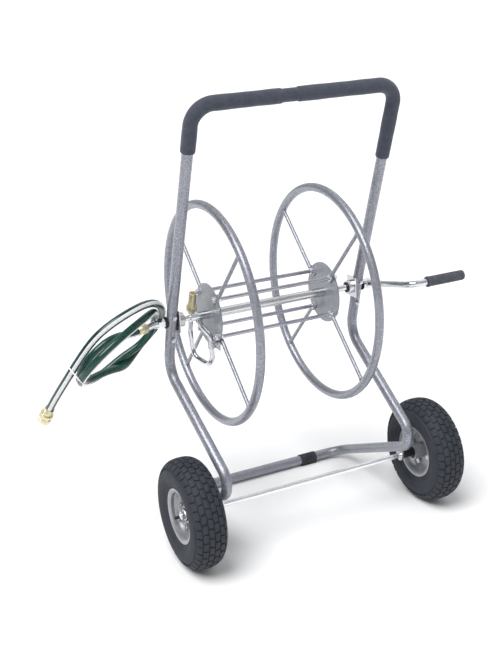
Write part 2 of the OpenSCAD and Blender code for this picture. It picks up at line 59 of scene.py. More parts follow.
def cart(x, y, z):
    return Vector((CART.x + x * MM, CART.y + y * MM, CART.z + (z - AXLE_HEIGHT) * MM))


def in_cart(p):
    return cart(p.x, p.y, p.z)


def unit(v):
    return Vector(v).normalized()


# ---------- camera ----------
AZIMUTH, ELEVATION, ROLL = math.radians(-25.625), math.radians(19.039), math.radians(-2.629)
SENSOR_WIDTH, LENS = 36, 77.12
CAMERA_PLACE = Vector((-1.16019, -2.20346, 1.32677))


def make_camera():
    back = Vector((
        math.sin(AZIMUTH) * math.cos(ELEVATION),
        -math.cos(AZIMUTH) * math.cos(ELEVATION),
        math.sin(ELEVATION),
    ))
    level = Vector((math.cos(AZIMUTH), math.sin(AZIMUTH), 0))
    upright = back.cross(level)
    right = level * math.cos(ROLL) + upright * math.sin(ROLL)
    up = upright * math.cos(ROLL) - level * math.sin(ROLL)
    data = bpy.data.cameras.new("camera")
    data.sensor_fit = "HORIZONTAL"
    data.sensor_width = SENSOR_WIDTH
    data.lens = LENS
    camera = bpy.data.objects.new("camera", data)
    bpy.context.scene.collection.objects.link(camera)
    camera.matrix_world = Matrix((
        (right.x, up.x, back.x, CAMERA_PLACE.x),
        (right.y, up.y, back.y, CAMERA_PLACE.y),
        (right.z, up.z, back.z, CAMERA_PLACE.z),
        (0, 0, 0, 1),
    ))
    bpy.context.scene.camera = camera


make_camera()


# ---------- mesh helpers ----------
def mesh_object(name, verts, faces, material, smooth=True, uvs=None):
    mesh = bpy.data.meshes.new(name)
    mesh.from_pydata([tuple(v) for v in verts], [], faces)
    if uvs:
        layer = mesh.uv_layers.new(name="UVMap")
        for poly in mesh.polygons:
            for corner, loop in enumerate(poly.loop_indices):
                layer.data[loop].uv = uvs[poly.index][corner]
    for poly in mesh.polygons:
        poly.use_smooth = smooth
    mesh.materials.append(material)
    obj = bpy.data.objects.new(name, mesh)
    bpy.context.scene.collection.objects.link(obj)
    mesh.validate()
    return obj


def sharpen(obj, degrees=35):
    obj.data.set_sharp_from_angle(angle=math.radians(degrees))


def grid_faces(rings, sides):
    """Quads between neighbouring rings of points."""
    faces = []
    for j in range(rings - 1):
        for k in range(sides):
            n = (k + 1) % sides
            faces.append((j * sides + k, j * sides + n, (j + 1) * sides + n, (j + 1) * sides + k))
    return faces


def ring_to_ring(start, last, sides):
    """Quads that join the ring of points from last on to the one from start on."""
    faces = []
    for k in range(sides):
        n = (k + 1) % sides
        faces.append((last + k, last + n, start + n, start + k))
    return faces


def across(way):
    """Two directions square to way and to each other."""
    side = way.cross(Vector((0, 0, 1)))
    if side.length < 0.2:
        side = way.cross(Vector((0, 1, 0)))
    side.normalize()
    return side, way.cross(side).normalized()


def turned(name, stations, base, way, material, sides=48, degrees=30):
    """A closed turned piece. Its section is one loop of stations in mm: height, largest radius,
    and half the width across its six flats, or 0 where it is round."""
    way = unit(way)
    a, b = across(way)
    verts = []
    for height, limit, flat in stations:
        for k in range(sides):
            t = 2 * math.pi * k / sides
            r = limit
            if flat:
                r = min(limit, flat / math.cos((t % (math.pi / 3)) - math.pi / 6))
            verts.append(base + way * height * MM + (a * math.cos(t) + b * math.sin(t)) * r * MM)
    faces = grid_faces(len(stations), sides) + ring_to_ring(0, (len(stations) - 1) * sides, sides)
    obj = mesh_object(name, verts, faces, material)
    sharpen(obj, degrees)
    return obj


def swept(name, points, radii, material, sides=24):
    """A round sweep along the points, with a radius in mm at each and a flat face at both ends."""
    rings = []
    side = None
    for i, p in enumerate(points):
        ahead = unit(points[min(i + 2, len(points) - 1)] - points[max(i - 2, 0)])
        if side is None:
            side, _ = across(ahead)
        side = (side - ahead * side.dot(ahead)).normalized()
        other = ahead.cross(side)
        for k in range(sides):
            t = 2 * math.pi * k / sides
            rings.append(p + (side * math.cos(t) + other * math.sin(t)) * radii[i] * MM)
    faces = grid_faces(len(points), sides)
    faces.append(tuple(reversed(range(sides))))
    faces.append(tuple(range((len(points) - 1) * sides, len(points) * sides)))
    return mesh_object(name, rings, faces, material)


# ---------- material helpers ----------
class Paint:
    """A Principled material whose pattern uses the object's own coordinates."""

    def __init__(self, name, **values):
        self.material = bpy.data.materials.new(name)
        self.material.use_nodes = True
        self.tree = self.material.node_tree
        self.shader = self.tree.nodes["Principled BSDF"]
        self.coordinates = self.tree.nodes.new("ShaderNodeTexCoord")
        for key, value in values.items():
            self.shader.inputs[key.replace("_", " ")].default_value = value

    def link(self, a, b):
        self.tree.links.new(a, b)

    def stretched(self, scale):
        node = self.tree.nodes.new("ShaderNodeMapping")
        node.inputs["Scale"].default_value = scale
        self.link(self.coordinates.outputs["Object"], node.inputs["Vector"])
        return node.outputs["Vector"]

    def noise(self, scale, detail=3.0, roughness=0.5, vector=None):
        node = self.tree.nodes.new("ShaderNodeTexNoise")
        node.inputs["Scale"].default_value = scale
        node.inputs["Detail"].default_value = detail
        node.inputs["Roughness"].default_value = roughness
        self.link(vector or self.coordinates.outputs["Object"], node.inputs["Vector"])
        return node.outputs["Fac"]

    def cells(self, scale, feature="F1", vector=None):
        node = self.tree.nodes.new("ShaderNodeTexVoronoi")
        node.feature = feature
        node.inputs["Scale"].default_value = scale
        self.link(vector or self.coordinates.outputs["Object"], node.inputs["Vector"])
        return node.outputs["Distance"]

    def ramp(self, value, *stops):
        node = self.tree.nodes.new("ShaderNodeValToRGB")
        ramp = node.color_ramp
        while len(ramp.elements) < len(stops):
            ramp.elements.new(0.5)
        for element, (place, colour) in zip(ramp.elements, stops):
            element.position = place
            element.color = (*colour, 1) if isinstance(colour, tuple) else (colour, colour, colour, 1)
        self.link(value, node.inputs["Fac"])
        return node.outputs["Color"]

    def mix(self, factor, a, b, mode="MIX"):
        node = self.tree.nodes.new("ShaderNodeMix")
        node.data_type = "RGBA"
        node.blend_type = mode
        for value, socket in ((factor, node.inputs[0]), (a, node.inputs[6]), (b, node.inputs[7])):
            if isinstance(value, (float, tuple)):
                socket.default_value = (*value, 1) if isinstance(value, tuple) else value
            else:
                self.link(value, socket)
        return node.outputs[2]

    def math(self, operation, a, b=0.0):
        node = self.tree.nodes.new("ShaderNodeMath")
        node.operation = operation
        for value, socket in ((a, node.inputs[0]), (b, node.inputs[1])):
            if isinstance(value, float):
                socket.default_value = value
            else:
                self.link(value, socket)
        return node.outputs[0]

    def colour(self, socket):
        self.link(socket, self.shader.inputs["Base Color"])

    def roughness(self, socket):
        self.link(socket, self.shader.inputs["Roughness"])

    def bump(self, height, distance, strength=1.0):
        node = self.tree.nodes.new("ShaderNodeBump")
        node.inputs["Distance"].default_value = distance
        node.inputs["Strength"].default_value = strength
        self.link(height, node.inputs["Height"])
        normal = self.shader.inputs["Normal"]
        if normal.is_linked:
            self.link(normal.links[0].from_socket, node.inputs["Normal"])
        self.link(node.outputs["Normal"], normal)


# ---------- materials ----------
def hammertone():
    p = Paint("hammertone_paint", Metallic=0.55, Coat_Weight=0.35, Coat_Roughness=0.12)
    vein = p.cells(520, "SMOOTH_F1")
    speck = p.noise(1300, 2.0, 0.6)
    dark, middle, pale = (0.12, 0.126, 0.142), (0.23, 0.24, 0.275), (0.44, 0.46, 0.53)
    tone = p.ramp(vein, (0.1, dark), (0.42, middle), (0.7, pale))
    light = p.ramp(speck, (0.52, 0.0), (0.74, 0.7))
    p.colour(p.mix(light, tone, (0.72, 0.73, 0.82)))
    p.roughness(p.ramp(speck, (0.3, 0.3), (0.7, 0.46)))
    p.bump(vein, 0.0004, 0.6)
    return p.material


def plate_paint():
    p = Paint("plate_paint", Metallic=0.45, Coat_Weight=0.2, Coat_Roughness=0.2)
    cloud = p.noise(60, 4.0, 0.6)
    grain = p.noise(1400, 2.0)
    p.colour(p.ramp(cloud, (0.3, (0.24, 0.255, 0.28)), (0.7, (0.3, 0.318, 0.345))))
    p.roughness(p.ramp(grain, (0.3, 0.34), (0.7, 0.48)))
    p.bump(grain, 0.0002, 0.5)
    return p.material


def rim_paint():
    p = Paint("rim_paint", Metallic=0.5, Coat_Weight=0.25, Coat_Roughness=0.15)
    cloud = p.noise(45, 4.0, 0.6)
    grain = p.noise(1200, 2.0)
    p.colour(p.ramp(cloud, (0.3, (0.3, 0.307, 0.325)), (0.7, (0.38, 0.39, 0.415))))
    p.roughness(p.ramp(grain, (0.3, 0.3), (0.7, 0.44)))
    p.bump(grain, 0.0002, 0.5)
    return p.material


def zinc(name, low, high, rough):
    p = Paint(name, Metallic=1.0)
    streak = p.noise(90, 4.0, 0.6, p.stretched((0.25, 6, 6)))
    crystal = p.cells(240)
    spangle = p.ramp(crystal, (0.2, 0.0), (0.8, 0.35))
    p.colour(p.mix(spangle, p.ramp(streak, (0.3, low), (0.7, high)), high))
    p.roughness(p.ramp(streak, (0.3, rough), (0.7, rough + 0.14)))
    p.bump(streak, 0.0001, 0.5)
    return p.material


def chrome():
    p = Paint("chrome", Metallic=1.0)
    smudge = p.noise(35, 4.0, 0.65)
    p.colour(p.ramp(smudge, (0.3, (0.6, 0.61, 0.65)), (0.7, (0.8, 0.81, 0.85))))
    p.roughness(p.ramp(smudge, (0.35, 0.07), (0.7, 0.2)))
    p.bump(p.noise(160, 2.0), 0.0002, 0.25)
    return p.material


def brass():
    p = Paint("turned_brass", Metallic=1.0)
    smudge = p.noise(70, 4.0, 0.65)
    p.colour(p.ramp(smudge, (0.3, (0.66, 0.58, 0.36)), (0.65, (0.88, 0.82, 0.6))))
    p.roughness(p.ramp(smudge, (0.3, 0.3), (0.7, 0.48)))
    p.bump(p.noise(900, 3.0), 0.0002, 0.5)
    return p.material


def foam():
    p = Paint("foam_sleeve", Sheen_Weight=0.25, Sheen_Roughness=0.5, Specular_IOR_Level=0.3)
    pores = p.cells(900)
    mottle = p.noise(70, 5.0, 0.7)
    p.colour(p.ramp(mottle, (0.3, (0.042, 0.048, 0.068)), (0.72, (0.07, 0.08, 0.108))))
    p.roughness(p.ramp(mottle, (0.3, 0.78), (0.7, 0.92)))
    p.bump(pores, 0.0004, 0.6)
    p.bump(mottle, 0.0006, 0.4)
    return p.material


def tyre_rubber():
    p = Paint("tyre_rubber", Specular_IOR_Level=0.35)
    dust = p.noise(40, 5.0, 0.7)
    grain = p.noise(1500, 2.0)
    p.colour(p.ramp(dust, (0.32, (0.02, 0.023, 0.031)), (0.7, (0.04, 0.046, 0.06))))
    p.roughness(p.ramp(dust, (0.3, 0.55), (0.7, 0.8)))
    p.bump(grain, 0.0002, 0.6)
    return p.material


def moulded(name, low, high, rough, grain_scale=1100, depth=0.0002):
    p = Paint(name, Specular_IOR_Level=0.4)
    cloud = p.noise(60, 3.0)
    grain = p.noise(grain_scale, 2.0)
    p.colour(p.ramp(cloud, (0.3, low), (0.7, high)))
    p.roughness(p.ramp(grain, (0.3, rough), (0.7, rough + 0.15)))
    p.bump(grain, depth, 0.6)
    return p.material


def hose_rubber():
    """Green hose: u runs round it, with the middle of its pale stripe at 0.5, and v along it in metres."""
    p = Paint("hose_rubber", Coat_Weight=0.45, Coat_Roughness=0.06, Specular_IOR_Level=0.35)
    split = p.tree.nodes.new("ShaderNodeSeparateXYZ")
    p.link(p.coordinates.outputs["UV"], split.inputs["Vector"])
    off = p.math("ABSOLUTE", p.math("SUBTRACT", split.outputs["X"], 0.5))
    mottle = p.noise(150, 3.0)
    green = p.ramp(mottle, (0.3, (0.002, 0.036, 0.026)), (0.7, (0.005, 0.062, 0.045)))
    white = p.ramp(mottle, (0.3, (0.7, 0.72, 0.73)), (0.7, (0.85, 0.86, 0.86)))
    edged = p.mix(p.ramp(off, (0.11, 1.0), (0.118, 0.0)), green, (0.006, 0.012, 0.03))
    p.colour(p.mix(p.ramp(off, (0.07, 1.0), (0.076, 0.0)), edged, white))
    p.roughness(p.ramp(mottle, (0.3, 0.25), (0.7, 0.38)))
    p.bump(p.noise(700, 2.0), 0.0002, 0.4)
    return p.material


HAMMERTONE = hammertone()
PLATE = plate_paint()
RIM = rim_paint()
ZINC = zinc("zinc_plate", (0.5, 0.49, 0.52), (0.78, 0.77, 0.8), 0.22)
ROD_ZINC = zinc("tie_rod_zinc", (0.3, 0.3, 0.36), (0.56, 0.56, 0.63), 0.22)
CORE = zinc("core_zinc", (0.52, 0.53, 0.54), (0.8, 0.81, 0.82), 0.2)
BRIGHT = zinc("bright_axle", (0.86, 0.9, 0.93), (0.97, 0.98, 1.0), 0.18)
CHROME = chrome()
BRASS = brass()
FOAM = foam()
TYRE = tyre_rubber()
BLACK = moulded("black_plastic", (0.012, 0.012, 0.014), (0.028, 0.028, 0.032), 0.42)
RUBBER = moulded("black_rubber", (0.016, 0.018, 0.024), (0.035, 0.038, 0.048), 0.6)
GRIP = moulded("grip_rubber", (0.05, 0.054, 0.068), (0.085, 0.09, 0.11), 0.6, 700, 0.0006)
WHITE = moulded("white_plastic", (0.78, 0.78, 0.77), (0.88, 0.88, 0.87), 0.35)
HOSE = hose_rubber()

BY_SLOT = {
    "frame_paint": HAMMERTONE,
    "plate_paint": PLATE,
    "rim_paint": RIM,
    "zinc": ZINC,
    "chrome": CHROME,
    "brass": BRASS,
    "foam": FOAM,
    "tyre": TYRE,
    "rubber": RUBBER,
    "black_plastic": BLACK,
    "white_plastic": WHITE,
    "hose": HOSE,
}
BY_NODE = {"axle_rod": BRIGHT, "tie_rods": ROD_ZINC, "core_tube": CORE}


def finish_cad_nodes():
    for part in frame["record"]["subparts"]:
        obj = frame["nodes"][part["node"]]
        obj.data.materials.clear()
        obj.data.materials.append(BY_NODE.get(part["node"], BY_SLOT[part["material_slot"]]))


finish_cad_nodes()

# ---------- leader hose ----------
# Its route lies in the coil's own axes: out along the coil, across it towards the handle, and up its axis.
COIL_LONG = Vector((-0.783, 0.143, -0.605))
COIL_WIDE = Vector((-0.522, -0.681, 0.514))
COIL_AXIS = COIL_LONG.cross(COIL_WIDE)
HOSE_R = 9.25
HOSE_ROUTE = [
    (-54, -12, 0), (-37, 1, 2), (-18, 32, 9), (14, 54, 10), (54, 58, 7), (93, 42, 5),
    (120, 7, 5), (125, -37, 7), (107, -78, 10), (70, -103, 13), (22, -106, 14), (-27, -113, 6),
    (-73, -101, 9), (-104, -68, 17), (-115, -22, 14), (-101, 26, -2), (-64, 77, -18), (-12, 115, -30),
    (44, 124, -35), (90, 101, -32), (115, 59, -23), (113, 12, -13), (84, -28, -7), (54, -67, -7),
    (37, -106, -9), (14, -134, 5), (-24, -147, 20), (-73, -141, 22), (-113, -105, 19), (-132, -46, 15),
    (-132, 17, 12), (-114, 68, 8), (-78, 102, 6), (-34, 121, 7), (11, 123, 9), (56, 108, 6),
    (102, 84, 3), (146, 57, 1), (187, 27, 1), (223, -5, 1),
]


def coil_way(p):
    return COIL_LONG * p[0] + COIL_WIDE * p[1] + COIL_AXIS * p[2]


START_WAY = unit(coil_way(Vector(HOSE_ROUTE[1]) - Vector(HOSE_ROUTE[0])))
INLET_CORNER = Vector((-301, REEL_Y, REEL_Z))
NUT_DISTANCE = 20
FERRULE_END = 24.7
INLET_FACE = INLET_CORNER + START_WAY * NUT_DISTANCE
COIL_CENTRE = INLET_CORNER + START_WAY * (NUT_DISTANCE + FERRULE_END) - coil_way(HOSE_ROUTE[0])


def spline(points, steps):
    """Uniform cubic spline that starts and ends on the end points."""
    first, last = Vector(points[0]), Vector(points[-1])
    p = [first * 2 - Vector(points[1]), *map(Vector, points), last * 2 - Vector(points[-2])]
    out = []
    for i in range(len(points) - 1):
        for s in range(steps):
            t = s / steps
            out.append((
                p[i] * (1 - t) ** 3 + p[i + 1] * (3 * t ** 3 - 6 * t * t + 4)
                + p[i + 2] * (-3 * t ** 3 + 3 * t * t + 3 * t + 1) + p[i + 3] * t ** 3
            ) / 6)
    out.append(last)
    return out


COIL_LINE = spline(HOSE_ROUTE, 8)
HOSE_LINE = [in_cart(COIL_CENTRE + coil_way(p)) for p in COIL_LINE]
# The stripe's angle round the hose in degrees, from the coil's axis outwards, at shares of the hose's length.
STRIPE_TURNS = [
    (0.0, 175), (0.12, 180), (0.2, 250), (0.29, 250), (0.36, 180),
    (0.5, 178), (0.58, 250), (0.67, 250), (0.76, 238), (1.0, 236),
]


def stripe_angle(along):
    for (a, low), (b, high) in zip(STRIPE_TURNS, STRIPE_TURNS[1:]):
        if along <= b:
            return math.radians(low + (high - low) * (along - a) / (b - a))
    return math.radians(STRIPE_TURNS[-1][1])


def make_hose(sides=24):
    verts, marks, travelled = [], [], 0.0
    total = sum((b - a).length for a, b in zip(HOSE_LINE, HOSE_LINE[1:]))
    for i, p in enumerate(HOSE_LINE):
        if i:
            travelled += (p - HOSE_LINE[i - 1]).length
        way = unit(HOSE_LINE[min(i + 1, len(HOSE_LINE) - 1)] - HOSE_LINE[max(i - 1, 0)])
        up = unit(COIL_AXIS - way * COIL_AXIS.dot(way))
        out = way.cross(up)
        marks.append((travelled, stripe_angle(travelled / total)))
        for k in range(sides):
            t = 2 * math.pi * k / sides + marks[-1][1]
            verts.append(p + (up * math.cos(t) + out * math.sin(t)) * HOSE_R * MM)
    last = (len(HOSE_LINE) - 1) * sides
    ends = [tuple(reversed(range(sides))), tuple(range(last, last + sides))]
    faces = grid_faces(len(HOSE_LINE), sides) + ends
    uvs = []
    for j in range(len(HOSE_LINE) - 1):
        for k in range(sides):
            a, b = (k / sides + 0.5) % 1.0, ((k + 1) / sides + 0.5) % 1.0 or 1.0
            v, w = marks[j][0], marks[j + 1][0]
            uvs.append([(a, v), (b, v), (b, w), (a, w)])
    uvs += [[(0.0, 0.0)] * sides, [(0.0, total)] * sides]
    return mesh_object("hose_tube", verts, faces, HOSE, uvs=uvs)


# ---------- hose fittings ----------
def ridges(start, end, low, high, pitch):
    """Stations of round ridges from start to end."""
    out, at = [], start
    while at + pitch <= end + 1e-6:
        out += [(at, low, 0), (at + pitch * 0.3, high, 0), (at + pitch * 0.7, high, 0), (at + pitch, low, 0)]
        at += pitch
    return out


def make_fittings():
    end_way = unit(HOSE_LINE[-1] - HOSE_LINE[-2])
    end = HOSE_LINE[-1]
    ferrule = turned("end_ferrule", [
        (-14, 9.3, 0), (-14, 11.0, 0), (-13, 11.6, 0), *ridges(-12, 0, 10.9, 11.65, 3),
        (1, 11.6, 0), (5, 11.6, 0), (6, 10.9, 0), (6.2, 8.9, 0), (14, 8.9, 0), (14, 11.5, 0),
        (17, 11.5, 0), (17, 6, 0), (0.2, 6, 0), (0.2, 9.3, 0),
    ], end, end_way, BRASS)
    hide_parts("hose_end_ferrule")
    nut = turned("coupling_nut", [
        (6.4, 9.2, 0), (6.4, 14.4, 0), (7.4, 15.3, 0), (8.2, 15.5, 13.9), (17.5, 15.5, 13.9),
        (18.3, 15.1, 0), (19.0, 14.6, 0), (20.5, 14.6, 0), (21.2, 15.4, 0), (31.4, 15.4, 0),
        (32.4, 14.6, 0), (32.4, 13.4, 0), (31.4, 13.25, 0), (20.2, 13.25, 0), (20.1, 13.7, 0),
        (17.4, 13.7, 0), (17.3, 12.0, 0), (14.0, 12.0, 0), (13.9, 9.2, 0),
    ], end, end_way, BRASS, 72)
    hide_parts("faucet_nut")
    face = in_cart(INLET_FACE)
    inlet = turned("inlet_hex_nut", [
        (0, 4.5, 0), (0, 10.6, 0), (1.2, 12.1, 10.5), (12.8, 12.1, 10.5), (14, 10.6, 0),
        (14, 4.5, 0),
    ], face, START_WAY, BRASS, 72)
    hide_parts("inlet_nut")
    inner = turned("inner_ferrule", [
        (14, 4.5, 0), (14, 9.4, 0), *ridges(14.6, 23.6, 9.5, 10.2, 3), (24.4, 9.9, 0),
        (FERRULE_END, 9.3, 0), (FERRULE_END, 4.5, 0),
    ], face, START_WAY, BRASS)
    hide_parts("hose_inner_ferrule")
    for piece in (ferrule, inlet, inner):
        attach(piece, "frame")
    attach(nut, "faucet_coupling")
    return ferrule, nut


def hull(points):
    """Convex outline, counterclockwise."""
    points = sorted(points)

    def half(seq):
        out = []
        for p in seq:
            while len(out) > 1:
                (ax, ay), (bx, by) = out[-2], out[-1]
                if (bx - ax) * (p[1] - ay) - (by - ay) * (p[0] - ax) > 0:
                    break
                out.pop()
            out.append(p)
        return out[:-1]

    return half(points) + half(reversed(points))


TIE_U = 105.5
TIE_SPOTS = [(82.5, 3), (75, -26.5), (26, 5)]
TIE_SECTION = [(0, -1.5), (1.1, -1.5), (1.3, -0.9), (1.3, 0.9), (1.1, 1.5), (0, 1.5)]
TIE_CLEAR = 0.05


def make_tie():
    """Cable tie round the three strands that cross its plane nearest the tie's spots."""
    rim = HOSE_R + TIE_CLEAR
    spots = []
    for spot in TIE_SPOTS:
        crossings = []
        for a, b in zip(COIL_LINE, COIL_LINE[1:]):
            if (a.x - TIE_U) * (b.x - TIE_U) <= 0 and a.x != b.x:
                p = a + (b - a) * ((TIE_U - a.x) / (b.x - a.x))
                crossings.append((math.dist(spot, (p.y, p.z)), p, unit(b - a)))
        _, p, way = min(crossings, key=lambda c: c[0])
        lean = Vector((way.y, way.z))
        stretch = 1 / max(abs(way.x), 0.35)
        for k in range(40):
            t = 2 * math.pi * k / 40
            v = Vector((math.cos(t), math.sin(t)))
            if lean.length > 1e-4:
                n = lean.normalized()
                v += n * v.dot(n) * (stretch - 1)
            spots.append((p.y + v.x * rim, p.z + v.y * rim))
    outline = hull(spots)
    verts, count = [], len(outline)
    for i, (w, h) in enumerate(outline):
        before, after = Vector(outline[i - 1]), Vector(outline[(i + 1) % count])
        along = (after - before).normalized()
        normal = Vector((along.y, -along.x))
        for lift, shift in TIE_SECTION:
            at = COIL_CENTRE + coil_way((TIE_U + shift, w + normal.x * lift, h + normal.y * lift))
            verts.append(in_cart(at))
    sides = len(TIE_SECTION)
    faces = grid_faces(count, sides) + ring_to_ring(0, (count - 1) * sides, sides)
    tie = mesh_object("cable_tie", verts, faces, WHITE)
    sharpen(tie)
    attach(tie, "frame")
    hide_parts("hose_tie")
    return tie


end_ferrule, coupling_nut = make_fittings()
cable_tie = make_tie()
hose = make_hose()
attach(hose, "frame")
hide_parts("leader_hose")


# ---------- outlet on the gooseneck ----------
OUTLET_BASE = cart(-192, REEL_Y + 26, REEL_Z + 10)
OUTLET_WAY = (0, -17, 54)


def make_outlet():
    piece = turned("outlet_spout", [
        (-9, 6.4, 0), (-9, 8.2, 0), (-8.4, 8.6, 0), (0, 8.6, 0), (0, 12.6, 0), (1.2, 14.0, 12.5),
        (12.8, 14.0, 12.5), (14, 12.6, 0), (14.2, 8.6, 0), *ridges(16, 45, 7.8, 9.2, 7.2), (46, 9.1, 0),
        (48.2, 9.0, 0), (49, 8.4, 0), (49, 6.8, 0), (46, 5.5, 0), (0, 5.5, 0), (0, 6.4, 0),
    ], OUTLET_BASE, OUTLET_WAY, BRASS, 72)
    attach(piece, "reel")
    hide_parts("outlet_fitting")


# ---------- foam sleeves ----------
TOP_CORNER = Vector((250, 22, 1041))
SEAM = Vector((255.5, 202, 545))
HANDLE_BEND = 48
FOAM_R = 17.0
FOAM_INSET = 0.35
BAND_LEFT, BAND_RIGHT = -43, -2
# Rounded end of a sleeve: distance from its end and radius.
SLEEVE_END = [(0.0, 13.0), (0.0, 15.2), (0.5, 16.0), (1.6, 16.5)]


def corner_line(a, corner, b, radius, count=24):
    """Points from a round the corner to b, with an arc of that radius and about 5 mm apart beside it."""
    u, v = unit(a - corner), unit(b - corner)
    half = math.acos(max(-1, min(1, u.dot(v)))) / 2
    reach = radius / math.tan(half)
    centre = corner + (u + v).normalized() * (radius / math.sin(half))
    first, last = corner + u * reach, corner + v * reach
    start, end = first - centre, last - centre
    turn = start.angle(end)
    axis = start.cross(end).normalized()
    arc = [centre + Matrix.Rotation(turn * i / count, 3, axis) @ start for i in range(count + 1)]
    out = []
    for p, q in ((a, first), (last, b)):
        steps = max(2, int((q - p).length / 5))
        out.append([p + (q - p) * (i / steps) for i in range(steps + 1)])
    return out[0][:-1] + arc + out[1][1:]


def make_sleeve(name, node, side, low_z, inner_x, seed):
    corner = Vector((TOP_CORNER.x * side, TOP_CORNER.y, TOP_CORNER.z))
    foot = Vector((SEAM.x * side, SEAM.y, SEAM.z))
    low = foot + (corner - foot) * ((low_z - foot.z) / (corner.z - foot.z))
    line = corner_line(low, corner, Vector((inner_x, corner.y, corner.z)), HANDLE_BEND)
    draw = random.Random(seed)
    slow, quick = draw.uniform(0, 6.28), draw.uniform(0, 6.28)
    points, radii, along = [], [], 0.0
    total = sum((b - a).length for a, b in zip(line, line[1:]))
    for i, p in enumerate(line):
        if i:
            along += (p - line[i - 1]).length
        near = min(along, total - along)
        wave = 0.25 * math.sin(along / 23 + slow) + 0.15 * math.sin(along / 9.1 + quick)
        points.append(in_cart(p))
        radii.append(FOAM_R - FOAM_INSET + wave * min(1, near / 20))
    start_way, end_way = unit(points[1] - points[0]), unit(points[-1] - points[-2])
    front = [(points[0] + start_way * d * MM, r) for d, r in SLEEVE_END]
    back = [(points[-1] - end_way * d * MM, r) for d, r in reversed(SLEEVE_END)]
    chain = front + list(zip(points[1:-1], radii[1:-1])) + back
    piece = swept(name, [p for p, _ in chain], [r for _, r in chain], FOAM, 36)
    sharpen(piece, 60)
    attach(piece, "frame")
    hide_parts(node)


def make_band():
    middle = (BAND_LEFT + BAND_RIGHT) / 2
    left = [(BAND_LEFT, 13.0, 0), (BAND_LEFT, 14.2, 0), (BAND_LEFT + 1, 14.8, 0), (middle - 1.5, 14.9, 0)]
    right = [(middle + 1.5, 14.9, 0), (BAND_RIGHT - 1, 14.8, 0), (BAND_RIGHT, 14.2, 0), (BAND_RIGHT, 13.0, 0)]
    stations = left + [(middle, 14.6, 0)] + right
    piece = turned("sleeve_band", stations, cart(0, TOP_CORNER.y, TOP_CORNER.z), (1, 0, 0), FOAM, 40)
    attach(piece, "frame")
    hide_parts("grip_joint_band")


# ---------- crank grip ----------
CRANK_ARM = 205
CRANK_ANGLE = math.radians(167)
GRIP_FROM, GRIP_TO = 330, 436
GRIP_BORE_R = 8.4


def make_crank_grip():
    y, z = REEL_Y + CRANK_ARM * math.cos(CRANK_ANGLE), REEL_Z + CRANK_ARM * math.sin(CRANK_ANGLE)
    collar = [(0, GRIP_BORE_R), (0, 12.0), (1, 13.0), (5, 13.2), (8, 12.3)]
    stations = [(GRIP_FROM + along, r, 0) for along, r in collar]
    for at in range(GRIP_FROM + 11, GRIP_TO - 12, 4):
        stations += [(at, 12.2, 0), (at + 0.8, 12.5, 0), (at + 2.4, 12.5, 0), (at + 3.2, 12.2, 0)]
    end = [(9, 12.4), (4, 12.5), (1, 11.6), (0, 9.6), (0, 0.2), (2.5, 0.2), (2.5, GRIP_BORE_R)]
    stations += [(GRIP_TO - along, r, 0) for along, r in end]
    piece = turned("crank_grip_sleeve", stations, cart(0, y, z), (1, 0, 0), GRIP, 40)
    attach(piece, "crank_handle")
    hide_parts("crank_grip")


# ---------- tyres ----------
WHEEL_X = 321
RIM_SEAT_X, RIM_SEAT_R = 26.0, 60.0
TREAD_DEPTH = 2.8
TREAD_HALF = 46
SHOULDER = 5
BLOCKS_ROUND = 36
BLOCK_FILL = 0.86
# Rows of tread blocks on one side of the crown: distance across from it and width.
HALF_ROWS = [(6.8, 11.2), (20.5, 12.0), (36.5, 15.5)]
WALL_RINGS = (58, 66, 78)
RING_HALF, RING_HEIGHT = 1.2, 0.55


def tyre_section():
    """Outer side of the section from bead to bead as (x, r), crown in the middle."""
    bead = [(26.8, 57.5), (29.0, 59.5), (30.3, 62), (31.8, 66.5), (34.2, 71), (38.3, 79), (40.3, 85)]
    wall = []
    count = 26
    for i in range(count + 1):
        t = math.radians(90 * i / count)
        wall.append((41.5 * math.cos(t) ** 0.8 if i < count else 0.0, 92 + 38 * math.sin(t) ** 0.8))
    right = bead + wall
    return right + [(-x, r) for x, r in reversed(right[:-1])]


SECTION = tyre_section()
CROWN = len(SECTION) // 2


def section_lengths():
    out = [0.0]
    for (ax, ar), (bx, br) in zip(SECTION, SECTION[1:]):
        out.append(out[-1] + math.hypot(bx - ax, br - ar))
    return [s - out[CROWN] for s in out]


LENGTHS = section_lengths()


def on_tyre(s, lift):
    """(x, r) at s millimetres across from the crown, raised by lift along the section's normal."""
    last = len(LENGTHS) - 1
    i = max(1, next((k for k, v in enumerate(LENGTHS) if v >= s), last))
    share = (s - LENGTHS[i - 1]) / (LENGTHS[i] - LENGTHS[i - 1])
    (ax, ar), (bx, br) = SECTION[i - 1], SECTION[i]
    x, r = ax + (bx - ax) * share, ar + (br - ar) * share
    (cx, cr), (dx, dr) = SECTION[max(0, i - 2)], SECTION[min(last, i + 1)]
    tx, tr = dx - cx, dr - cr
    size = math.hypot(tx, tr)
    return x + lift * tr / size, r - lift * tx / size


def wheel_place(side, x, r, angle):
    return cart(side * WHEEL_X + x, r * math.sin(angle), AXLE_HEIGHT + r * math.cos(angle))


def surface_lift(s):
    """Lift of the tyre's ground: low between the tread blocks, with small raised rings on the sidewall."""
    a = abs(s)
    if a < TREAD_HALF:
        return -TREAD_DEPTH
    if a < TREAD_HALF + SHOULDER:
        return -TREAD_DEPTH * (TREAD_HALF + SHOULDER - a) / SHOULDER
    for at in WALL_RINGS:
        if abs(a - at) < RING_HALF:
            return RING_HEIGHT * math.cos((a - at) / RING_HALF * math.pi / 2)
    return 0.0


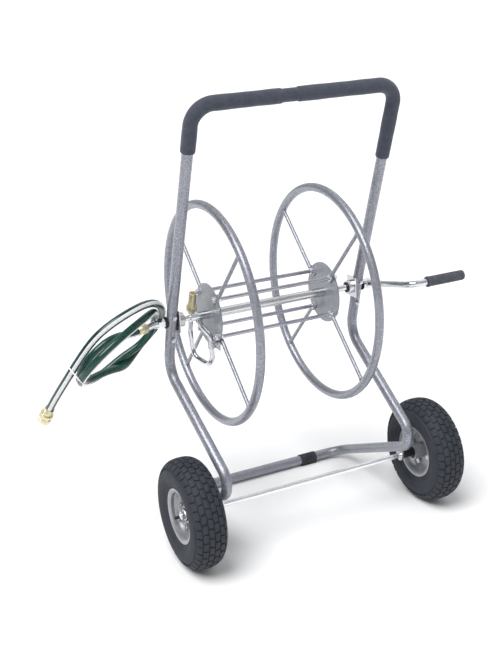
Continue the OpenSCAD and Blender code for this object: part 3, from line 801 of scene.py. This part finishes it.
def make_tyre(side, name):
    verts, faces = [], []
    sides = 144
    low, high = LENGTHS[0], LENGTHS[-1]
    count = int(high - low)
    rows = [low + (high - low) * i / count for i in range(count + 1)]
    profile = [on_tyre(s, surface_lift(s)) for s in rows]
    profile += [(-RIM_SEAT_X, RIM_SEAT_R), (RIM_SEAT_X, RIM_SEAT_R)]
    for k in range(sides):
        t = 2 * math.pi * k / sides
        verts += [wheel_place(side, x, r, t) for x, r in profile]
    n = len(profile)
    for k in range(sides):
        for i in range(n):
            a, b = k * n + i, k * n + (i + 1) % n
            c, d = ((k + 1) % sides) * n + (i + 1) % n, ((k + 1) % sides) * n + i
            faces.append((a, b, c, d))
    pitch = 2 * math.pi / BLOCKS_ROUND
    row_places = [(-centre, wide) for centre, wide in reversed(HALF_ROWS)] + HALF_ROWS
    for row, (centre, wide) in enumerate(row_places):
        shift, skew = (0.5, 0.05 * pitch) if row % 2 else (0.0, -0.05 * pitch)
        for i in range(BLOCKS_ROUND):
            add_block(verts, faces, side, (i + shift) * pitch, centre, wide, pitch * BLOCK_FILL, skew)
    obj = mesh_object(name, verts, faces, TYRE)
    sharpen(obj, 40)
    body = "wheel_" + ("left" if side < 0 else "right")
    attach(obj, body)
    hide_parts(name.replace("treaded_", ""))


def add_block(verts, faces, side, at, centre, wide, long, skew):
    """One tread block: a rounded raised brick with its ends slanted."""
    base = len(verts)
    layers = ((-TREAD_DEPTH - 0.6, 0.7, 1.0), (-0.9, 0.25, 1.0), (-0.25, 0.0, 0.97), (0.0, -0.9, 0.88))
    edge = (-1, -0.5, 0, 0.5)
    outline = [(u, -1) for u in edge] + [(1, v) for v in edge]
    outline += [(-u, 1) for u in edge] + [(-1, -v) for v in edge]
    for lift, grow, share in layers:
        for u, v in outline:
            corner = 0.93 if abs(u) == 1 and abs(v) == 1 else 1.0
            s = centre + v * corner * (wide / 2 + grow * 0.5)
            angle = at + u * corner * long / 2 * share + skew * v
            x, r = on_tyre(s, lift)
            verts.append(wheel_place(side, x, r, angle))
    count = len(outline)
    for a, b, c, d in grid_faces(len(layers), count):
        faces.append((base + a, base + b, base + c, base + d))
    top = base + (len(layers) - 1) * count
    left = len(verts)
    mid, right = left + 1, left + 2
    x, r = on_tyre(centre, 0.0)
    for u in (-0.5, 0, 0.5):
        verts.append(wheel_place(side, x, r, at + u * long / 2))
    ring = [top + k for k in range(count)]
    spines = [left] * 2 + [mid] + [right] * 6 + [mid] * 2 + [left] * 5
    for k, spine in enumerate(spines):
        faces.append((ring[k], ring[(k + 1) % count], spine))
    faces.append((ring[2], mid, left))
    faces.append((ring[3], right, mid))
    faces.append((ring[9], mid, right))
    faces.append((ring[11], left, mid))


# ---------- weld beads where the spokes meet the rings ----------
SPOKE_X = 152.25
FIRST_SPOKE = 43
WELD_FROM_AXIS = 253.2
WELD_R = 5.0


def make_welds(side, name):
    draw = random.Random(11 if side > 0 else 12)
    verts, faces = [], []
    around, section = 28, 8
    for spoke in range(4):
        angle = math.radians(FIRST_SPOKE + 90 * spoke)
        out = Vector((0, math.cos(angle), math.sin(angle)))
        a, b = across(out)
        centre = Vector((side * SPOKE_X, REEL_Y, REEL_Z)) + out * WELD_FROM_AXIS
        base = len(verts)
        for i in range(around):
            t = 2 * math.pi * i / around
            bead = 1.35 + 0.35 * math.sin(t * 9) + draw.uniform(-0.12, 0.12)
            spine = a * math.cos(t) + b * math.sin(t)
            for k in range(section):
                f = 2 * math.pi * k / section
                p = centre + spine * (WELD_R + bead * math.cos(f)) + out * (bead * 1.2 * math.sin(f))
                verts.append(in_cart(p))
        for i in range(around):
            for k in range(section):
                m, n = (i + 1) % around, (k + 1) % section
                faces.append((base + i * section + k, base + m * section + k,
                              base + m * section + n, base + i * section + n))
    piece = mesh_object(name, verts, faces, HAMMERTONE)
    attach(piece, "reel")


make_welds(-1, "spoke_welds_left")
make_welds(1, "spoke_welds_right")
make_outlet()
make_sleeve("foam_sleeve_left", "foam_grip_left", -1, 940, BAND_LEFT, 3)
make_sleeve("foam_sleeve_right", "foam_grip_right", 1, 868, BAND_RIGHT, 5)
make_band()
make_crank_grip()
make_tyre(-1, "treaded_tyre_left")
make_tyre(1, "treaded_tyre_right")


# ---------- stage ----------
FLOOR_HALF = 80.0


def make_floor():
    verts = [(x * FLOOR_HALF, y * FLOOR_HALF, 0) for x, y in ((-1, -1), (1, -1), (1, 1), (-1, 1))]
    p = Paint("floor_white", Roughness=0.9, Specular_IOR_Level=0.1)
    p.colour(p.ramp(p.noise(2.0), (0.3, (0.93, 0.93, 0.93)), (0.7, (0.95, 0.95, 0.95))))
    floor = mesh_object("floor", verts, [(0, 1, 2, 3)], p.material, smooth=False)


# Name, direction towards the light, strength, and the angle in degrees that it fills.
SUNS = [("key", (-0.45, -0.2, 0.9), 3.0, 42), ("rim", (0.7, 0.3, 0.6), 0.5, 60)]


def make_suns():
    """One broad soft light from above, to the left of the camera, and a weaker one from the right."""
    for name, way, strength, spread in SUNS:
        data = bpy.data.lights.new(name, "SUN")
        data.energy = strength
        data.angle = math.radians(spread)
        light = bpy.data.objects.new(name, data)
        bpy.context.scene.collection.objects.link(light)
        light.rotation_mode = "QUATERNION"
        light.rotation_quaternion = Vector(way).to_track_quat("Z", "Y")


def make_world():
    """Pale studio light with two darker bands across X; the camera itself sees plain white."""
    world = bpy.data.worlds.new("studio")
    bpy.context.scene.world = world
    world.use_nodes = True
    tree = world.node_tree
    background = tree.nodes["Background"]
    background.inputs["Strength"].default_value = 0.52
    direction = tree.nodes.new("ShaderNodeTexCoord")
    split = tree.nodes.new("ShaderNodeSeparateXYZ")
    tree.links.new(direction.outputs["Generated"], split.inputs["Vector"])
    ramp = tree.nodes.new("ShaderNodeValToRGB")
    stops = ((0.0, 0.9), (0.12, 0.3), (0.3, 0.35), (0.42, 0.98), (0.75, 1.0), (0.86, 0.4), (1.0, 0.9))
    while len(ramp.color_ramp.elements) < len(stops):
        ramp.color_ramp.elements.new(0.5)
    for element, (place, grey) in zip(ramp.color_ramp.elements, stops):
        element.position = place
        element.color = (grey * 0.97, grey * 0.98, grey, 1)
    shifted = tree.nodes.new("ShaderNodeMapRange")
    shifted.inputs["From Min"].default_value = -1
    tree.links.new(split.outputs["X"], shifted.inputs["Value"])
    tree.links.new(shifted.outputs["Result"], ramp.inputs["Fac"])
    seen = tree.nodes.new("ShaderNodeLightPath")
    mix = tree.nodes.new("ShaderNodeMix")
    mix.data_type = "RGBA"
    mix.inputs[7].default_value = (2, 2, 2, 1)
    tree.links.new(seen.outputs["Is Camera Ray"], mix.inputs[0])
    tree.links.new(ramp.outputs["Color"], mix.inputs[6])
    tree.links.new(mix.outputs[2], background.inputs["Color"])


make_floor()
make_suns()
make_world()
bpy.context.scene.view_settings.view_transform = "Standard"
